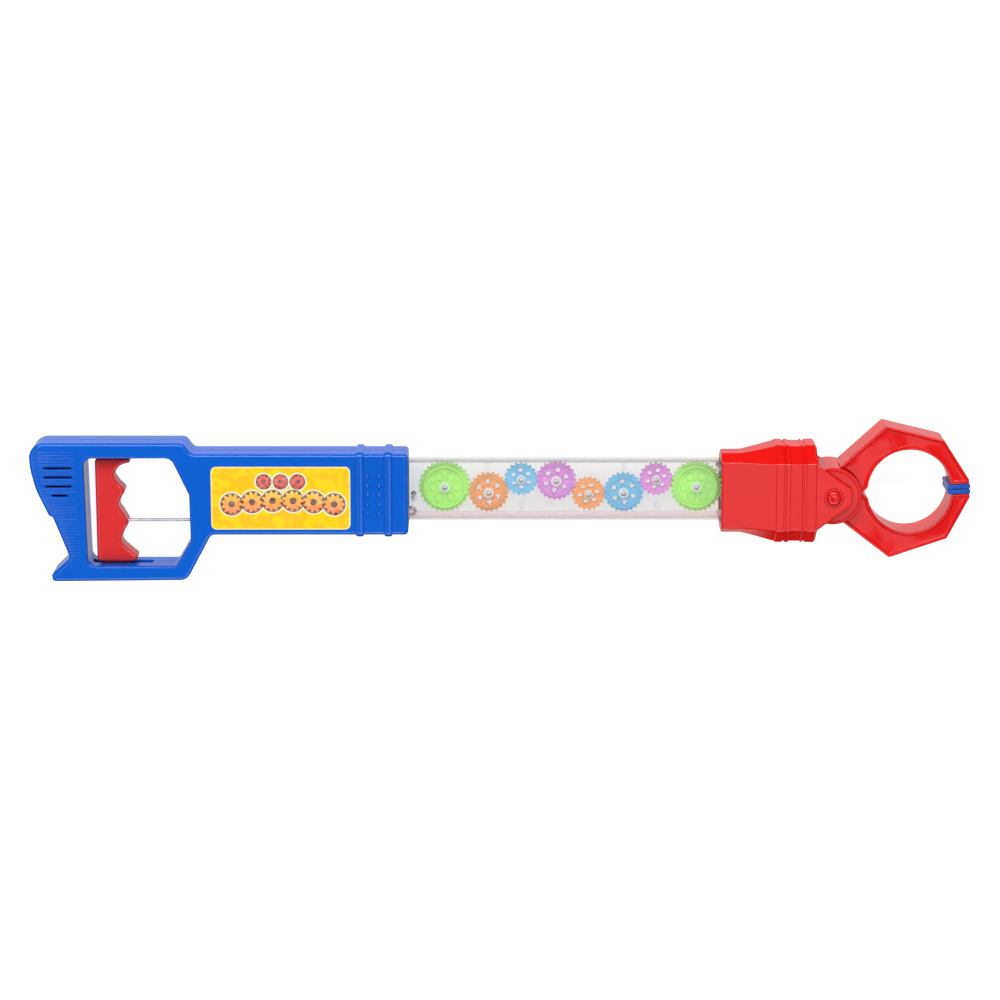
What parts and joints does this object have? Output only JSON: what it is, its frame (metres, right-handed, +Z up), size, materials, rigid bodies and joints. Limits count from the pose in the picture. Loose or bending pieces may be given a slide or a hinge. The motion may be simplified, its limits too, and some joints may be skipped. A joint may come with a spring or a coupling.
{
  "type": "toy grabber arm",
  "caption": "Long toy robot arm: D-shaped handle with a sliding trigger, clear tube with a coloured gear train, and a two-jaw claw that closes when the trigger is pulled.",
  "frame": {"origin": "middle of the footprint, on the surface that the arm lies on", "axes": "+X along the arm from the handle to the claw, +Y towards the knuckle side of the handle, +Z up out of the labelled face"},
  "size_m": [0.5688, 0.0956, 0.0521],
  "materials": {
    "handle_blue": "glossy moulded plastic, saturated blue",
    "label_yellow": "printed film label, warm yellow",
    "trigger_red": "glossy moulded plastic, red",
    "wrist_red": "glossy moulded plastic, red",
    "claw_red": "glossy moulded plastic, red",
    "pad_blue": "glossy moulded plastic, blue",
    "tube_clear": "clear polystyrene, polished",
    "gear_green": "translucent tinted plastic, light green",
    "gear_orange": "translucent tinted plastic, orange",
    "gear_blue": "translucent tinted plastic, light blue",
    "gear_violet": "translucent tinted plastic, violet",
    "inner_white": "natural white acetal",
    "steel": "plated steel"
  },
  "bodies": {
    "arm": {"handle_front_shell": "handle_blue", "handle_rear_shell": "handle_blue", "handle_screw_1": "steel", "handle_screw_2": "steel", "handle_screw_3": "steel", "handle_screw_4": "steel", "handle_screw_5": "steel", "handle_screw_6": "steel", "front_label": "label_yellow", "return_spring": "steel", "tube_front_shell": "tube_clear", "tube_rear_shell": "tube_clear", "tube_screw_1": "steel", "tube_screw_2": "steel", "wrist_front_shell": "wrist_red", "wrist_rear_shell": "wrist_red", "wrist_screw_1": "steel", "wrist_screw_2": "steel", "wrist_screw_3": "steel", "wrist_screw_4": "steel", "pivot_pin": "wrist_red"},
    "drive": {"trigger": "trigger_red", "trigger_rod": "steel", "pull_bar": "tube_clear", "crosshead": "inner_white", "cross_pin": "steel"},
    "upper_claw": {"upper_jaw": "claw_red", "upper_pad": "pad_blue"},
    "lower_claw": {"lower_jaw": "claw_red", "lower_pad": "pad_blue"},
    "green_gear_1": {"green_gear_1": "gear_green"},
    "orange_gear_1": {"orange_gear_1": "gear_orange"},
    "blue_gear_1": {"blue_gear_1": "gear_blue"},
    "violet_gear_1": {"violet_gear_1": "gear_violet"},
    "orange_gear_2": {"orange_gear_2": "gear_orange"},
    "blue_gear_2": {"blue_gear_2": "gear_blue"},
    "violet_gear_2": {"violet_gear_2": "gear_violet"},
    "green_gear_2": {"green_gear_2": "gear_green"},
    "drive_pinion": {"drive_pinion": "inner_white"}
  },
  "joints": [
    {"name": "trigger_slide", "type": "slide", "parent": "arm", "child": "drive", "axis": [1, 0, 0], "range_m": [0, 0.0093], "stiffness_N_per_m": 30, "springref_m": 0.0093, "deforming": ["return_spring"]},
    {"name": "upper_claw_turn", "type": "hinge", "parent": "arm", "child": "upper_claw", "pos_m": [0.20096, 0.00611, 0.02499], "axis": [0, 0, 1], "range_deg": [0, 35.02]},
    {"name": "lower_claw_turn", "type": "hinge", "parent": "arm", "child": "lower_claw", "pos_m": [0.20096, 0.00611, 0.02499], "axis": [0, 0, 1], "range_deg": [-35.02, 0]},
    {"name": "green_gear_1_turn", "type": "hinge", "parent": "arm", "child": "green_gear_1", "pos_m": [-0.03374, 0.00701, 0.02499], "axis": [0, 0, 1], "range_deg": [0, 34.85]},
    {"name": "orange_gear_1_turn", "type": "hinge", "parent": "arm", "child": "orange_gear_1", "pos_m": [-0.00694, 0.00343, 0.02499], "axis": [0, 0, 1], "range_deg": [-45.45, 0]},
    {"name": "blue_gear_1_turn", "type": "hinge", "parent": "arm", "child": "blue_gear_1", "pos_m": [0.01283, 0.01166, 0.02499], "axis": [0, 0, 1], "range_deg": [0, 55.01]},
    {"name": "violet_gear_1_turn", "type": "hinge", "parent": "arm", "child": "violet_gear_1", "pos_m": [0.03423, 0.01069, 0.02499], "axis": [0, 0, 1], "range_deg": [-45.45, 0]},
    {"name": "orange_gear_2_turn", "type": "hinge", "parent": "arm", "child": "orange_gear_2", "pos_m": [0.05402, 0.0025, 0.02499], "axis": [0, 0, 1], "range_deg": [0, 55.01]},
    {"name": "blue_gear_2_turn", "type": "hinge", "parent": "arm", "child": "blue_gear_2", "pos_m": [0.07542, 0.00339, 0.02499], "axis": [0, 0, 1], "range_deg": [-45.45, 0]},
    {"name": "violet_gear_2_turn", "type": "hinge", "parent": "arm", "child": "violet_gear_2", "pos_m": [0.09521, 0.01159, 0.02499], "axis": [0, 0, 1], "range_deg": [0, 55.01]},
    {"name": "green_gear_2_turn", "type": "hinge", "parent": "arm", "child": "green_gear_2", "pos_m": [0.11978, 0.00704, 0.02499], "axis": [0, 0, 1], "range_deg": [-34.85, 0]},
    {"name": "drive_pinion_turn", "type": "hinge", "parent": "arm", "child": "drive_pinion", "pos_m": [0.14489, 0.00261, 0.02499], "axis": [0, 0, 1], "range_deg": [0, 52.26]}
  ],
  "couplings": [
    {"joint": "upper_claw_turn", "follows": "trigger_slide", "rad_per_m": 65.684},
    {"joint": "lower_claw_turn", "follows": "trigger_slide", "rad_per_m": -65.684},
    {"joint": "green_gear_1_turn", "follows": "trigger_slide", "rad_per_m": 65.359},
    {"joint": "orange_gear_1_turn", "follows": "trigger_slide", "rad_per_m": -85.251},
    {"joint": "blue_gear_1_turn", "follows": "trigger_slide", "rad_per_m": 103.2},
    {"joint": "violet_gear_1_turn", "follows": "trigger_slide", "rad_per_m": -85.251},
    {"joint": "orange_gear_2_turn", "follows": "trigger_slide", "rad_per_m": 103.2},
    {"joint": "blue_gear_2_turn", "follows": "trigger_slide", "rad_per_m": -85.251},
    {"joint": "violet_gear_2_turn", "follows": "trigger_slide", "rad_per_m": 103.2},
    {"joint": "green_gear_2_turn", "follows": "trigger_slide", "rad_per_m": -65.359},
    {"joint": "drive_pinion_turn", "follows": "trigger_slide", "rad_per_m": 98.039}
  ]
}
